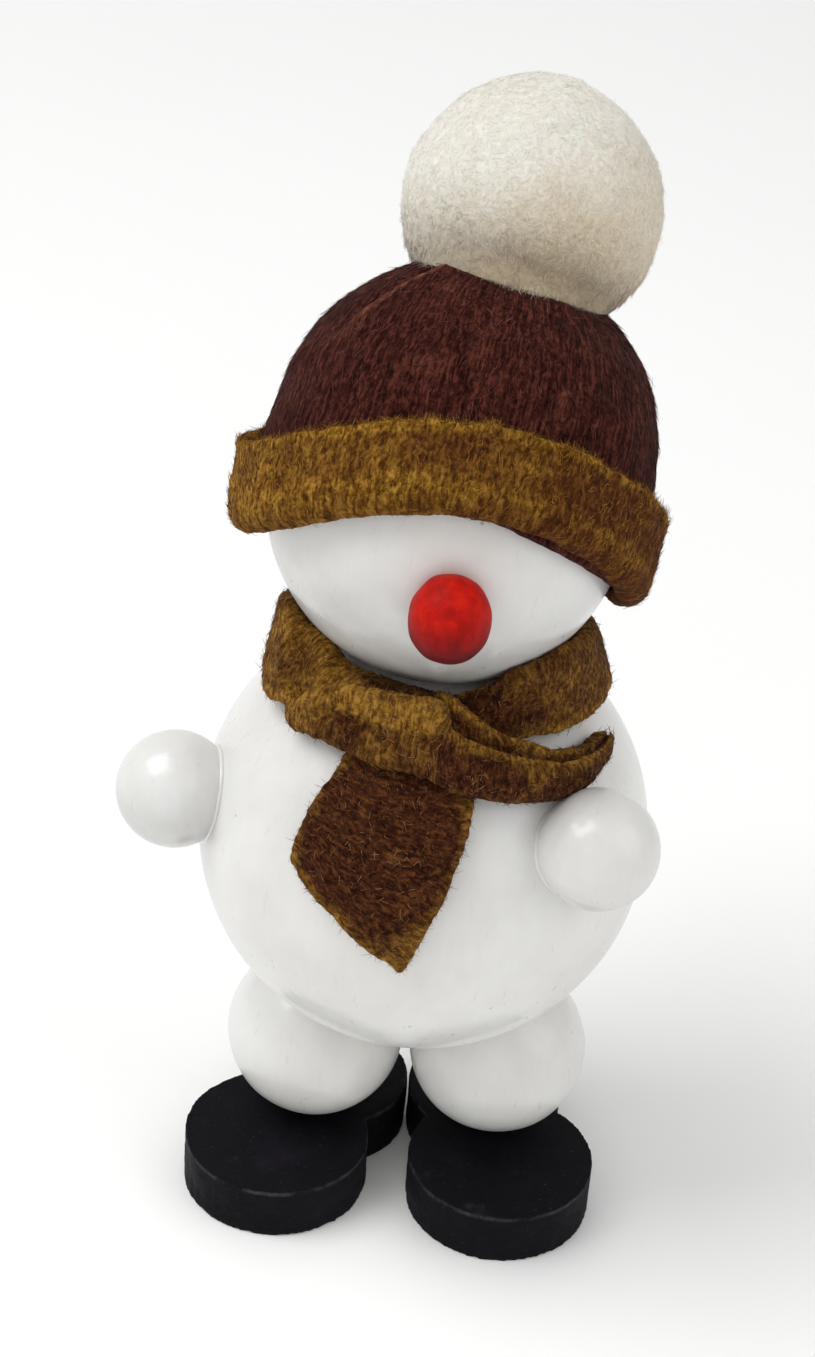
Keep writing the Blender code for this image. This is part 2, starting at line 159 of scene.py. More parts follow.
aim_camera()
soft_box("key", (-0.55, -0.12, 1.0), 0.7, 7.0)
soft_box("front_fill", (-0.10, -0.9, 0.42), 0.8, 0.7)
soft_box("right_fill", (0.80, -0.30, 0.55), 0.8, 1.9)

sky = bpy.data.worlds.new("studio")
sky.use_nodes = True
sky.node_tree.nodes["Background"].inputs[0].default_value = (1.0, 1.0, 1.0, 1)
sky.node_tree.nodes["Background"].inputs[1].default_value = 0.54
bpy.context.scene.world = sky
bpy.context.scene.view_settings.view_transform = "Standard"

clean_slate()
bpy.ops.mesh.primitive_plane_add(size=2.4, location=(0, 0, -0.02 * MM))
floor = bpy.context.object
floor.name = "floor"
bpy.ops.object.mode_set(mode="EDIT")
bpy.ops.mesh.select_mode(type="EDGE")
bpy.ops.object.mode_set(mode="OBJECT")
for edge in floor.data.edges:
    edge.select = all(floor.data.vertices[v].co.y > 1 for v in edge.vertices)
for face in floor.data.polygons:
    face.select = False
bpy.ops.object.mode_set(mode="EDIT")
bpy.ops.mesh.extrude_region_move(TRANSFORM_OT_translate={"value": (0, 0.05, 1.4)})
clean_slate()
floor_paint, node, link = new_material("pale_floor", Roughness=0.9)
sweep = clouds(node, node("TexCoord").outputs["Object"], 5.0)
link(colours(node, sweep, (0.3, (0.97, 0.97, 0.965)), (0.7, (0.985, 0.985, 0.98))), "Base Color")
floor.data.materials.append(floor_paint)

# ------------------------------------------------------------------ white painted balls
# Body, head, legs and arms are turned beech balls under two coats of satin white, brushed on.
# The arms and legs are dished to the body and glued on their dowels.


def in_place(piece):
    """Its place, turn and size go into its mesh."""
    pick_only(piece)
    bpy.ops.object.transform_apply(location=True, rotation=True, scale=True)


def finish_modifiers(piece):
    pick_only(piece)
    for modifier in list(piece.modifiers):
        bpy.ops.object.modifier_apply(modifier=modifier.name)


def uneven(piece, depth, grain, seed):
    """Pushes the surface in and out a little, in soft hollows of about the given grain."""
    count = len(piece.data.vertices)
    spots = np.empty(count * 3, np.float32)
    normals = np.empty(count * 3, np.float32)
    piece.data.vertices.foreach_get("co", spots)
    piece.data.vertices.foreach_get("normal", normals)
    spots, normals = spots.reshape(-1, 3), normals.reshape(-1, 3)
    shift = Vector((seed * 3.7, seed * 1.3, seed * 5.1))
    push = np.array([noise.noise(Vector(spot) / grain + shift) for spot in spots])
    spots = spots + normals * (push * depth)[:, None]
    piece.data.vertices.foreach_set("co", spots.ravel().astype(np.float32))
    piece.data.update()


def turned_ball(name, radius, centre, segments, seed, stretch=(1, 1, 1)):
    """A ball off the lathe, a hair out of round."""
    clean_slate()
    bpy.ops.mesh.primitive_uv_sphere_add(segments=segments, ring_count=segments // 2, radius=radius,
                                         location=centre, scale=stretch)
    piece = bpy.context.object
    piece.name = name
    in_place(piece)
    uneven(piece, 0.006 * radius, 0.55 * radius, seed)
    return piece


def sawn_off(piece, point, outward):
    """Cuts the piece flat and closes it."""
    pick_only(piece)
    bpy.ops.object.mode_set(mode="EDIT")
    bpy.ops.mesh.select_all(action="SELECT")
    bpy.ops.mesh.bisect(plane_co=point, plane_no=outward, use_fill=True, clear_outer=True)
    clean_slate()


def dished(piece, radius, centre):
    """Hollows the piece so that it sits on a ball."""
    clean_slate()
    bpy.ops.mesh.primitive_uv_sphere_add(segments=96, ring_count=48, radius=radius, location=centre)
    tool = bpy.context.object
    dish = piece.modifiers.new("dish", "BOOLEAN")
    dish.operation = "DIFFERENCE"
    dish.object = tool
    finish_modifiers(piece)
    bpy.data.objects.remove(tool, do_unlink=True)


def bumps(node, height, strength, depth):
    return node("Bump", {"Height": height, "Strength": strength, "Distance": depth}).outputs[0]


def white_paint(name="white_paint", shade_side=None, shade_from=None, shade_to=None):
    """Brushed white, which may be darkened by painted shade towards one side.

    The painted shade grows between two distances from the origin that way.
    """
    made, node, link = new_material(name, Roughness=0.3, Coat_Weight=0.35, Coat_Roughness=0.12,
                                    Subsurface_Weight=0.04, Subsurface_Scale=0.6 * MM)
    place = node("TexCoord").outputs["Object"]
    cloud = clouds(node, place, 55.0, 3.0, 0.55)
    base = colours(node, cloud, (0.30, (0.70, 0.685, 0.650)), (0.52, (0.765, 0.76, 0.735)),
                   (0.72, (0.79, 0.79, 0.775)))
    strokes = node("Mapping", {"Vector": place, "Scale": (900.0, 900.0, 160.0), "Rotation": (0.35, 0.2, 0)})
    brush = clouds(node, strokes.outputs[0], 1.0, 4.0, 0.6)
    brushed = mixed(node, 0.07, base, colours(node, brush, (0.35, (0.62, 0.61, 0.59)),
                                              (0.65, (0.90, 0.90, 0.89))))
    dust = node("TexVoronoi", {"Vector": place, "Scale": 330.0, "Randomness": 1.0})
    speck = clouds(node, place, 210.0, 0.0)
    spot = node("Math", {0: tones(node, dust.outputs["Distance"], 1.0, 0.0, 0.05, 0.12),
                         1: tones(node, speck, 0.0, 1.0, 0.67, 0.73)}, operation="MULTIPLY")
    painted = mixed(node, spot.outputs[0], brushed, (0.36, 0.33, 0.29, 1))
    # painted shade: grey mixed into the white towards the given side, broken up by noise
    if shade_side:
        way = node("VectorMath", {0: place, 1: tuple(shade_side)}, operation="DOT_PRODUCT")
        shade_noise = clouds(node, place, 120.0, 3.0, distortion=0.6)
        tone_mask = node("Math", {0: tones(node, way.outputs["Value"], 0.0, 0.62, shade_from, shade_to),
                               1: tones(node, shade_noise, 0.55, 1.25, 0.35, 0.65)},
                      operation="MULTIPLY")
        painted = mixed(node, tone_mask.outputs[0], painted, (0.25, 0.24, 0.225, 1))
    link(painted, "Base Color")
    link(tones(node, brush, 0.26, 0.42, 0.3, 0.7), "Roughness")
    fine = clouds(node, place, 1500.0, 2.0)
    relief = node("Math", {0: brush, 1: fine}, operation="ADD")
    link(bumps(node, relief.outputs[0], 0.22, 0.05 * MM), "Normal")
    return made


white = white_paint()


def finished(piece, body, slot, material, *stands_for):
    """Smooth, painted, and fixed to its body."""
    piece.data.materials.clear()
    piece.data.materials.append(material)
    pick_only(piece)
    bpy.ops.object.shade_smooth_by_angle(angle=math.radians(35))
    clean_slate()
    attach(piece, body)
    if stands_for:
        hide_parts(*stands_for)


low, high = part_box("body_ball")
body_radius = (high.x - low.x) / 2
body_centre = Vector(((low.x + high.x) / 2, (low.y + high.y) / 2, low.z + body_radius))
body = turned_ball("painted_body", body_radius, body_centre, 144, 1)
sawn_off(body, (0, 0, high.z), (0, 0, 1))
finished(body, "figure", "white_paint", white, "body_ball")

low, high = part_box("head_ball")
head_radius = (high.x - low.x) / 2
head_centre = Vector(((low.x + high.x) / 2, (low.y + high.y) / 2, high.z - head_radius))
head = turned_ball("painted_head", head_radius, head_centre, 128, 2)
sawn_off(head, (0, 0, low.z), (0, 0, -1))
# painted shade under the head: its white turns grey towards the underside, below the chin
under_chin = Vector((-0.12, -0.30, -0.94)).normalized()
chin = head_centre.dot(under_chin)
chin_shaded = white_paint("chin_shaded_paint", under_chin, chin + 0.15 * head_radius, chin + 0.95 * head_radius)
finished(head, "head", "white_paint", chin_shaded, "head_ball")

ANKLE_FLAT = 0.5 * MM
GLUE_GAP = 0.3 * MM
leg_centres = {}
for side, seed in (("left", 3), ("right", 4)):
    low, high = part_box(side + "_leg_ball")
    leg_radius = (high.x - low.x) / 2
    centre = Vector(((low.x + high.x) / 2, (low.y + high.y) / 2, low.z - ANKLE_FLAT + leg_radius))
    leg = turned_ball("painted_leg_" + side, leg_radius, centre, 96, seed)
    sawn_off(leg, (0, 0, low.z), (0, 0, -1))
    dished(leg, body_radius + GLUE_GAP, body_centre)
    finished(leg, "figure", "white_paint", white, side + "_leg_ball")
    leg_centres[side] = centre

arm_centres = {}
for side, sign, seed in (("left", -1, 5), ("right", 1, 6)):
    low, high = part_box(side + "_arm_ball")
    arm_radius = (high.z - low.z) / 2
    outer = low.x + arm_radius if sign < 0 else high.x - arm_radius
    centre = Vector((outer, low.y + arm_radius, (low.z + high.z) / 2))
    arm = turned_ball("painted_arm_" + side, arm_radius, centre, 80, seed)
    dished(arm, body_radius + GLUE_GAP, body_centre)
    # painted shade: the arms' white turns grey towards their undersides
    if side == "left":  # both arms have one paint, greyed towards their undersides
        underside_shaded = white_paint("underside_shaded_paint", (0, 0, -1), -centre.z - 0.7 * arm_radius,
                              -centre.z + 1.6 * arm_radius)
    finished(arm, "figure", "white_paint", underside_shaded, side + "_arm_ball")
    arm_centres[side] = centre


BEAD_RADIUS, BEAD_OUT = 0.30 * MM, 0.12 * MM


def joint_bead(name, radius, centre, seed):
    """Glue and paint that stand as a thin bead round a dished ball where it meets the body."""
    along = centre - body_centre
    apart = along.length
    ring_up = (apart ** 2 + body_radius ** 2 - radius ** 2) / (2 * apart)
    ring = math.sqrt(body_radius ** 2 - ring_up ** 2)
    clean_slate()
    bpy.ops.mesh.primitive_torus_add(major_radius=ring + BEAD_OUT, minor_radius=BEAD_RADIUS,
                                     major_segments=120, minor_segments=14,
                                     location=body_centre + along.normalized() * (ring_up + BEAD_OUT),
                                     rotation=along.to_track_quat("Z", "Y").to_euler())
    bead = bpy.context.object
    bead.name = name
    in_place(bead)
    uneven(bead, 0.16 * MM, 2.6 * MM, seed)
    finished(bead, "figure", "white_paint", white)


for side, seed in (("left", 11), ("right", 12)):
    joint_bead("paint_bead_leg_" + side, leg_radius, leg_centres[side], seed)
    joint_bead("paint_bead_arm_" + side, arm_radius, arm_centres[side], seed + 4)

# ------------------------------------------------------------------ dowels
# Bare beech rods, glued into blind bores in the balls and boards; the head sits loose on the
# neck's.  They keep their shape from the frame.


def bare_beech():
    made, node, link = new_material("bare_beech", Roughness=0.6)
    place = node("TexCoord").outputs["Object"]
    along = node("Mapping", {"Vector": place, "Scale": (2600.0, 2600.0, 180.0)})
    grain = clouds(node, along.outputs[0], 1.0, 5.0, 0.6)
    link(colours(node, grain, (0.3, (0.42, 0.27, 0.14)), (0.5, (0.58, 0.41, 0.24)),
                 (0.7, (0.66, 0.50, 0.32))), "Base Color")
    link(bumps(node, grain, 0.3, 0.05 * MM), "Normal")
    return made


beech = bare_beech()
for name, rod in frame["nodes"].items():
    if name.endswith("_dowel") or name == "nose_peg":
        rod.data.materials.clear()
        rod.data.materials.append(beech)

# ------------------------------------------------------------------ nose
# A small ball dipped in red, a little taller than wide, dished to the head and pegged on.
NOSE_GAP = 0.15 * MM
low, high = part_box("nose_ball")
nose_radius = (high.z - low.z) / 2
nose_centre = Vector(((low.x + high.x) / 2, low.y + nose_radius, (low.z + high.z) / 2))
nose = turned_ball("red_nose", nose_radius, nose_centre, 64, 7, stretch=(0.965, 1.0, 1.04))
uneven(nose, 0.16 * MM, 2.4 * MM, 8)
dished(nose, head_radius + NOSE_GAP, head_centre)


def red_paint():
    made, node, link = new_material("red_paint", Specular_IOR_Level=0.12)
    place = node("TexCoord").outputs["Object"]
    patch = clouds(node, place, 420.0, 5.0, 0.65)
    drawn = node("Mapping", {"Vector": place, "Location": -nose_centre})
    height = node("SeparateXYZ", {0: drawn.outputs[0]}).outputs["Z"]
    # painted shade: a lit red above and a darker, shaded red below, mixed by height on the nose
    lower = tones(node, height, 0.0, 1.0, -0.60 * nose_radius, 0.50 * nose_radius)
    lit_red = colours(node, patch, (0.3, (0.29, 0.0024, 0.0006)), (0.5, (0.46, 0.0050, 0.0009)),
                     (0.72, (0.62, 0.015, 0.002)))
    shaded_red = colours(node, patch, (0.3, (0.060, 0.0010, 0.0035)), (0.7, (0.135, 0.0022, 0.0055)))
    link(mixed(node, lower, shaded_red, lit_red), "Base Color")
    link(tones(node, patch, 0.48, 0.66), "Roughness")
    link(bumps(node, patch, 0.35, 0.08 * MM), "Normal")
    return made


finished(nose, "head", "red_paint", red_paint(), "nose_ball")

# ------------------------------------------------------------------ feet
# Board feet fretsawn from 8 mm pine: a toe round and a smaller heel round run together, edges
# rubbed over, one coat of matt black.  The saw's marks show on the sides.
TOE_RADIUS, HEEL_RADIUS = 13.0 * MM, 11.1 * MM
TOE_AHEAD, HEEL_BEHIND = 9.7 * MM, 5.6 * MM
FOOT_SPLAY = {"left": -25.0, "right": 11.0}
EDGE_RUB = 0.75 * MM


def matt_black():
    made, node, link = new_material("matt_black", Specular_IOR_Level=0.10)
    place = node("TexCoord").outputs["Object"]
    up = node("SeparateXYZ", {0: place}).outputs["Z"]
    cloud = clouds(node, place, 120.0, 4.0)
    base = colours(node, cloud, (0.35, (0.0020, 0.0020, 0.0034)),
                   (0.55, (0.0036, 0.0035, 0.0056)), (0.72, (0.0074, 0.0064, 0.0098)))
    dust = clouds(node, place, 1900.0, 2.0, 0.8)
    fleck = tones(node, dust, 0.0, 0.55, 0.66, 0.78)
    speckled = mixed(node, fleck, base, (0.070, 0.068, 0.080, 1))
    # lighter grey in patches round the rounded top edge
    edge_patches = clouds(node, place, 260.0, 5.0, 0.7)
    near_edge = node("Math", {0: tones(node, up, 0.0, 1.0, 7.15 * MM, 7.5 * MM),
                              1: tones(node, up, 1.0, 0.0, 7.75 * MM, 7.93 * MM)}, operation="MULTIPLY")
    tone_mask = node("Math", {0: near_edge.outputs[0], 1: tones(node, edge_patches, 0.0, 0.7, 0.40, 0.66)},
                  operation="MULTIPLY")
    link(mixed(node, tone_mask.outputs[0], speckled, (0.075, 0.073, 0.082, 1)), "Base Color")
    link(tones(node, cloud, 0.60, 0.82, 0.3, 0.7), "Roughness")
    sawn = node("Mapping", {"Vector": place, "Scale": (260.0, 260.0, 3200.0)})
    marks = clouds(node, sawn.outputs[0], 1.0, 3.0)
    relief = node("Math", {0: marks, 1: dust}, operation="ADD")
    link(bumps(node, relief.outputs[0], 0.5, 0.09 * MM), "Normal")
    return made


def board_foot(side, seed):
    low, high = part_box(side + "_foot")
    thickness = high.z - low.z
    splay = math.radians(FOOT_SPLAY[side])
    ankle = leg_centres[side]
    rounds = []
    for radius, ahead, sides in ((TOE_RADIUS, TOE_AHEAD, 40), (HEEL_RADIUS, -HEEL_BEHIND, 34)):
        spot = Vector((ahead * math.sin(splay), -ahead * math.cos(splay), 0))
        clean_slate()
        bpy.ops.mesh.primitive_cylinder_add(vertices=sides, radius=radius, depth=thickness,
                                            location=(ankle.x + spot.x, ankle.y + spot.y, thickness / 2),
                                            rotation=(0, 0, splay))
        rounds.append(bpy.context.object)
        in_place(rounds[-1])
    board, heel = rounds
    board.name = "board_foot_" + side
    join = board.modifiers.new("heel", "BOOLEAN")
    join.operation = "UNION"
    join.object = heel
    rub = board.modifiers.new("rubbed_edges", "BEVEL")
    rub.width = EDGE_RUB
    rub.segments = 3
    rub.limit_method = "ANGLE"
    rub.angle_limit = math.radians(50)
    fine = board.modifiers.new("fine", "REMESH")
    fine.mode = "VOXEL"
    fine.voxel_size = 0.36 * MM
    finish_modifiers(board)
    bpy.data.objects.remove(heel, do_unlink=True)
    soften = board.modifiers.new("soften", "SMOOTH")
    soften.factor = 0.5
    soften.iterations = 2
    finish_modifiers(board)
    uneven(board, 0.16 * MM, 4.0 * MM, seed)
    uneven(board, 0.07 * MM, 0.9 * MM, seed + 1)
    for vertex in board.data.vertices:
        vertex.co.z = min(max(vertex.co.z, 0.0), thickness)
    return board


black = matt_black()
for side, seed in (("left", 21), ("right", 23)):
    finished(board_foot(side, seed), "figure", "black_paint", black, side + "_foot")

# ------------------------------------------------------------------ hat crown
# One round of brown-maroon wool felt, pressed over a form into a dome, with its slack taken up
# in one dart that comes out from under the pompom on the left.  It is pulled down over the head.
hat_up = Vector(joints["hat_lift"]["axis"]).normalized()
hat_front = (Vector((0, -1, 0)) - hat_up * Vector((0, -1, 0)).dot(hat_up)).normalized()
hat_side = hat_up.cross(hat_front)
hat_frame = Matrix((hat_side, -hat_front, hat_up)).transposed().to_4x4()
hat_frame.translation = head_centre

# The dome's outer side, from the flat under the pompom down: radius, and height up the hat.
CROWN_SIDE = ((0.0, 28.1), (5.0, 28.2), (9.5, 28.1), (12.6, 27.2), (15.6, 25.2), (18.4, 22.5),
              (21.0, 18.9), (22.9, 14.6), (24.3, 9.8), (24.9, 5.0))
CROWN_LEAN = 0.6 * MM
CROWN_FELT = 1.8 * MM
HIP = 12 * MM                       # below this height the side is drawn out to the lower edge
DART_TURN, DART_SLANT = -30.0, 2.0  # degrees round from the front, and degrees for each mm down
LINING_TURN = 34.0                  # the crown's own edge shows below the fold this way round
LINING_SWEEP = 1.3                  # and so far to each side of it, in radians
LINING_TUCK, LINING_DROP = 2.4, 3.2


def brim_edge(turn):
    """Height of the hat's lower edge round from its front: it dips over the ears."""
    return (-4.575 + 3.875 * np.cos(2 * turn) - 3.7 * np.cos(turn) + 0.85 * np.sin(turn)
            + 1.1 * np.sin(2 * turn)) * MM


def hug(height):
    """How far the felt draws in below the head's middle."""
    below = np.clip(-height, 0, 0.9 * head_radius)
    return 0.35 * (head_radius - np.sqrt(head_radius ** 2 - below ** 2))


def curve_through(points, samples):
    """Points evenly along a Catmull-Rom curve through the given rows."""
    rows = np.asarray(points, float)
    padded_rows = np.concatenate([2 * rows[:1] - rows[1:2], rows, 2 * rows[-1:] - rows[-2:-1]])
    spans = len(rows) - 1

    def at(place):
        span = np.minimum(place.astype(int), spans - 1)
        part = (place - span).reshape((-1,) + (1,) * (rows.ndim - 1))
        a, b, c, d = (padded_rows[span + step] for step in range(4))
        return 0.5 * (2 * b + (c - a) * part + (2 * a - 5 * b + 4 * c - d) * part ** 2
                      + (3 * b - a - 3 * c + d) * part ** 3)

    fine = np.linspace(0, spans, 60 * spans + 1)
    steps = np.diff(at(fine).reshape(len(fine), -1), axis=0)
    length = np.concatenate([[0], np.cumsum(np.linalg.norm(steps, axis=1))])
    return at(np.interp(np.linspace(0, length[-1], samples), length, fine))


def felt_sheet(name, grid, thickness, closed, cap=None):
    """A sheet of felt from a grid of points along its middle, with a wall put on and rounded."""
    rows, columns = grid.shape[:2]
    corners = [tuple(point) for point in grid.reshape(-1, 3)]
    faces = []
    loops = []
    for row in range(rows - (0 if closed else 1)):
        after = (row + 1) % rows
        for column in range(columns - 1):
            faces.append((row * columns + column, row * columns + column + 1,
                          after * columns + column + 1, after * columns + column))
            loops += [(row, column), (row, column + 1), (row + 1, column + 1), (row + 1, column)]
    if cap is not None:
        corners.append(tuple(cap))
        for row in range(rows):
            faces.append((len(corners) - 1, row * columns, ((row + 1) % rows) * columns))
            loops += [(row + 0.5, -1), (row, 0), (row + 1, 0)]
    mesh = bpy.data.meshes.new(name)
    mesh.from_pydata(corners, [], faces)
    lay = mesh.uv_layers.new(name="lay")
    along, across = rows, columns - 1
    for corner, (row, column) in enumerate(loops):
        lay.data[corner].uv = (row / along, column / across)
    piece = bpy.data.objects.new(name, mesh)
    bpy.context.scene.collection.objects.link(piece)
    wall = piece.modifiers.new("wall", "SOLIDIFY")
    wall.thickness = thickness
    wall.offset = 0
    rounded = piece.modifiers.new("rounded", "SUBSURF")
    rounded.levels = 1
    rounded.render_levels = 1
    finish_modifiers(piece)
    return piece


def half_turn(angle):
    """The same angle, between half a turn back and half a turn on."""
    return (angle + math.pi) % (2 * math.pi) - math.pi


def past_dart(turn, height):
    """Angle round the hat from the dart, which slants back as it comes down."""
    return half_turn(turn - np.radians(DART_TURN - DART_SLANT * (28.0 - height / MM)))


def crown_grid(steps, rings):
    side = curve_through([(r * MM, h * MM) for r, h in CROWN_SIDE], rings)
    slope = np.gradient(side, axis=0)
    slope /= np.linalg.norm(slope, axis=1)[:, None]
    middle = side + np.stack([slope[:, 1], -slope[:, 0]], 1) * CROWN_FELT / 2
    middle[0, 0] = 0.0
    grid = np.zeros((steps, rings, 3))
    for step in range(steps):
        turn = 2 * math.pi * step / steps
        from_lining = np.clip(half_turn(turn - math.radians(LINING_TURN)), -LINING_SWEEP, LINING_SWEEP)
        shows = 0.5 + 0.5 * math.cos(from_lining / LINING_SWEEP * math.pi)
        bottom = brim_edge(turn) + (LINING_TUCK - LINING_DROP * shows) * MM
        drawn = HIP + (middle[:, 1] - HIP) * (HIP - bottom) / (HIP - middle[-1, 1])
        height = np.where(middle[:, 1] > HIP, middle[:, 1], drawn)
        radius = middle[:, 0] - hug(height)
        # the dart: the felt is lapped over itself on the left, from the top half way down
        lap = past_dart(turn, height)
        fade = np.clip((height - 13 * MM) / (9 * MM), 0, 1) * np.clip((radius - 9 * MM) / (5 * MM), 0, 1)
        step_up = 1 / (1 + np.exp(-lap / 0.02)) * np.exp(-np.maximum(lap, 0) / 0.40)
        groove = -np.exp(-((lap + 0.05) / 0.05) ** 2)
        radius = radius + fade * (0.95 * step_up + 0.75 * groove) * MM
        height = height + fade * (0.55 * step_up + 0.35 * groove) * MM
        grid[step, :, 0] = radius * math.sin(turn) + CROWN_LEAN * np.clip(height / (20 * MM), 0, 1)
        grid[step, :, 1] = -radius * math.cos(turn)
        grid[step, :, 2] = height
    return grid


def in_hat(grid):
    """From the hat's own frame to the figure's."""
    turned = np.array(hat_frame)
    return grid @ turned[:3, :3].T + turned[:3, 3]


whole = crown_grid(200, 58)
crown = felt_sheet("felt_crown", in_hat(whole[:, 1:]), CROWN_FELT, True, cap=in_hat(whole[0, 0]))
uneven(crown, 0.30 * MM, 5.0 * MM, 31)
uneven(crown, 0.11 * MM, 0.9 * MM, 32)


def felt(name, plain, accent, stroke, light_and_tone_map):
    """Wool felt: mottled fibres that run mostly along the sheet's own second direction.

    plain and accent are its deep, middle and light tones.  stroke is how many fibres go into the
    sheet along and across, and light_and_tone_map names an attribute that turns plain into accent,
    which carries painted light and shade as well as the felt's own mix of tones.
    """
    made, node, link = new_material(name, Roughness=0.95, Sheen_Weight=0.02, Sheen_Roughness=0.45,
                                    Specular_IOR_Level=0.06)
    coords = node("TexCoord")
    place = coords.outputs["Object"]
    patch = clouds(node, place, 150.0, 4.0, 0.6)
    warp = node("TexNoise", {"Vector": place, "Scale": 380.0, "Detail": 2.0})
    laid = node("Mapping", {"Vector": coords.outputs["UV"], "Scale": (*stroke, 1.0)})
    pull = node("VectorMath", {0: warp.outputs["Color"], "Scale": 2.6}, operation="SCALE")
    bent = node("VectorMath", {0: laid.outputs[0], 1: pull.outputs[0]}, operation="ADD")
    fibre = clouds(node, bent.outputs[0], 1.0, 4.0, 0.65)
    curl = clouds(node, place, 1300.0, 3.0, 0.7, distortion=0.5)
    fine = node("Math", {0: curl, 1: 0.36}, operation="MULTIPLY")
    mottle = node("Math", {0: fibre, 1: 0.64, 2: fine.outputs[0]},
                  operation="MULTIPLY_ADD").outputs[0]
    mask = node("Attribute", attribute_name=light_and_tone_map).outputs["Fac"]
    loose = node("Math", {0: tones(node, patch, -0.35, 0.35, 0.3, 0.7), 1: mask},
                 operation="ADD")
    amount = tones(node, loose.outputs[0], 0.0, 1.0, 0.15, 0.85)
    places = (0.40, 0.50, 0.60)
    link(mixed(node, amount, colours(node, mottle, *zip(places, plain)),
               colours(node, mottle, *zip(places, accent))), "Base Color")
    relief = node("Math", {0: mottle, 1: curl}, operation="ADD")
    link(bumps(node, relief.outputs[0], 0.8, 0.28 * MM), "Normal")
    return made


def hat_place(points):
    """Points in the hat's own frame."""
    return (points - np.array(head_centre)) @ np.array(hat_frame)[:3, :3]


def marked(piece, name, values):
    """A number at each vertex, for the material."""
    mark = piece.data.attributes.new(name, "FLOAT", "POINT")
    mark.data.foreach_set("value", np.asarray(values, np.float32))


def vertices_of(piece):
    spots = np.empty(len(piece.data.vertices) * 3)
    piece.data.vertices.foreach_get("co", spots)
    return spots.reshape(-1, 3)


def turn_of(points):
    """Angle of each point round from the front."""
    return np.arctan2(points[:, 0], -points[:, 1])


def reach_of(points):
    """Distance of each point from the upright axis."""
    return np.linalg.norm(points[:, :2], axis=1)


inside = hat_place(vertices_of(crown))
turn = turn_of(inside)
# painted highlight along the ridge of the dart, in the felt's lighter tones
marked(crown, "seam_highlight", 0.9 * np.exp(-((past_dart(turn, inside[:, 2]) - 0.03) / 0.04) ** 2)
       * np.clip((inside[:, 2] - 15 * MM) / (5 * MM), 0, 1))
maroon_felt = felt("maroon_felt", ((0.011, 0.0022, 0.0019), (0.038, 0.0086, 0.0064), (0.100, 0.0270, 0.0180)),
                   ((0.050, 0.014, 0.009), (0.15, 0.046, 0.028), (0.26, 0.095, 0.060)),
                   (330.0, 10.0), "seam_highlight")


def tufts(name, sheet, count, length, thick, lift, lean, seed, weights, curl, shades=(0.0, 1.0), painted_shade=None):
    """Loose fibres standing on a felt sheet: thin curved spikes, rooted in it.

    lean is the way most of them are brushed, one for all or one for each root, lift how far they
    stand off, shades the darkest and lightest that one may be, weights how thick they grow at
    each face, and painted_shade how much darker each one is painted, as shade.
    """
    draw = np.random.default_rng(seed)
    mesh = sheet.data
    mesh.calc_loop_triangles()
    corner = np.empty(len(mesh.loop_triangles) * 3, np.int32)
    mesh.loop_triangles.foreach_get("vertices", corner)
    corner = corner.reshape(-1, 3)
    spots = vertices_of(sheet)
    a, b, c = (spots[corner[:, k]] for k in range(3))
    out = np.cross(b - a, c - a)
    area = np.linalg.norm(out, axis=1)
    out /= area[:, None] + 1e-15
    chance = area * weights((a + b + c) / 3, out)
    picked = draw.choice(len(corner), count, p=chance / chance.sum())
    u, v = draw.random(count), draw.random(count)
    flip = u + v > 1
    u[flip], v[flip] = 1 - u[flip], 1 - v[flip]
    root = a[picked] + u[:, None] * (b - a)[picked] + v[:, None] * (c - a)[picked]
    normal = out[picked]
    brushed = lean(root) if callable(lean) else np.tile(np.asarray(lean, float), (count, 1))
    scatter = draw.normal(size=(count, 3))
    way = brushed + curl * scatter
    way -= normal * (way * normal).sum(1)[:, None]
    way /= np.linalg.norm(way, axis=1)[:, None] + 1e-12
    side = np.cross(normal, way)
    long = length * draw.uniform(0.5, 1.25, count)[:, None]
    rise = lift * draw.uniform(0.2, 1.3, count)[:, None]
    bend = long * draw.normal(0, 0.22, count)[:, None]
    joint_at = (0.0, 0.36, 0.72, 1.0)
    spine = [root - normal * 0.12 * MM + way * long * s + side * bend * s * s * (1.6 - 0.9 * s)
             + normal * rise * math.sin(math.pi * min(0.62 * s, 0.5)) for s in joint_at]
    shade = draw.uniform(*shades, count)
    if painted_shade:
        shade = np.clip(shade - painted_shade(root), 0, 1)
    corners = []
    for level, centre in enumerate(spine[:3]):
        reach = thick * (0.5, 0.42, 0.28)[level]
        for angle in (0.5, 0.5 + 2 * math.pi / 3, 0.5 + 4 * math.pi / 3):
            corners.append(centre + reach * (math.cos(angle) * side + math.sin(angle) * normal))
    corners.append(spine[3])
    points = np.stack(corners, 1)
    pattern = [(0, 2, 1)]
    for ring in (0, 3):
        for k in range(3):
            after = (k + 1) % 3
            pattern += [(ring + k, ring + after, ring + 3 + after),
                        (ring + k, ring + 3 + after, ring + 3 + k)]
    pattern += [(6 + k, 6 + (k + 1) % 3, 9) for k in range(3)]
    faces = (np.arange(count)[:, None, None] * 10 + np.array(pattern)[None]).reshape(-1, 3)
    fuzz = bpy.data.meshes.new(name)
    fuzz.vertices.add(count * 10)
    fuzz.vertices.foreach_set("co", points.reshape(-1).astype(np.float32))
    fuzz.loops.add(faces.size)
    fuzz.loops.foreach_set("vertex_index", faces.reshape(-1).astype(np.int32))
    fuzz.polygons.add(len(faces))
    fuzz.polygons.foreach_set("loop_start", np.arange(0, faces.size, 3, dtype=np.int32))
    fuzz.update(calc_edges=True)
    tone = fuzz.attributes.new("shade", "FLOAT", "POINT")
    tone.data.foreach_set("value", np.repeat(shade, 10).astype(np.float32))
    fuzz.validate()
    piece = bpy.data.objects.new(name, fuzz)
    bpy.context.scene.collection.objects.link(piece)
    return piece


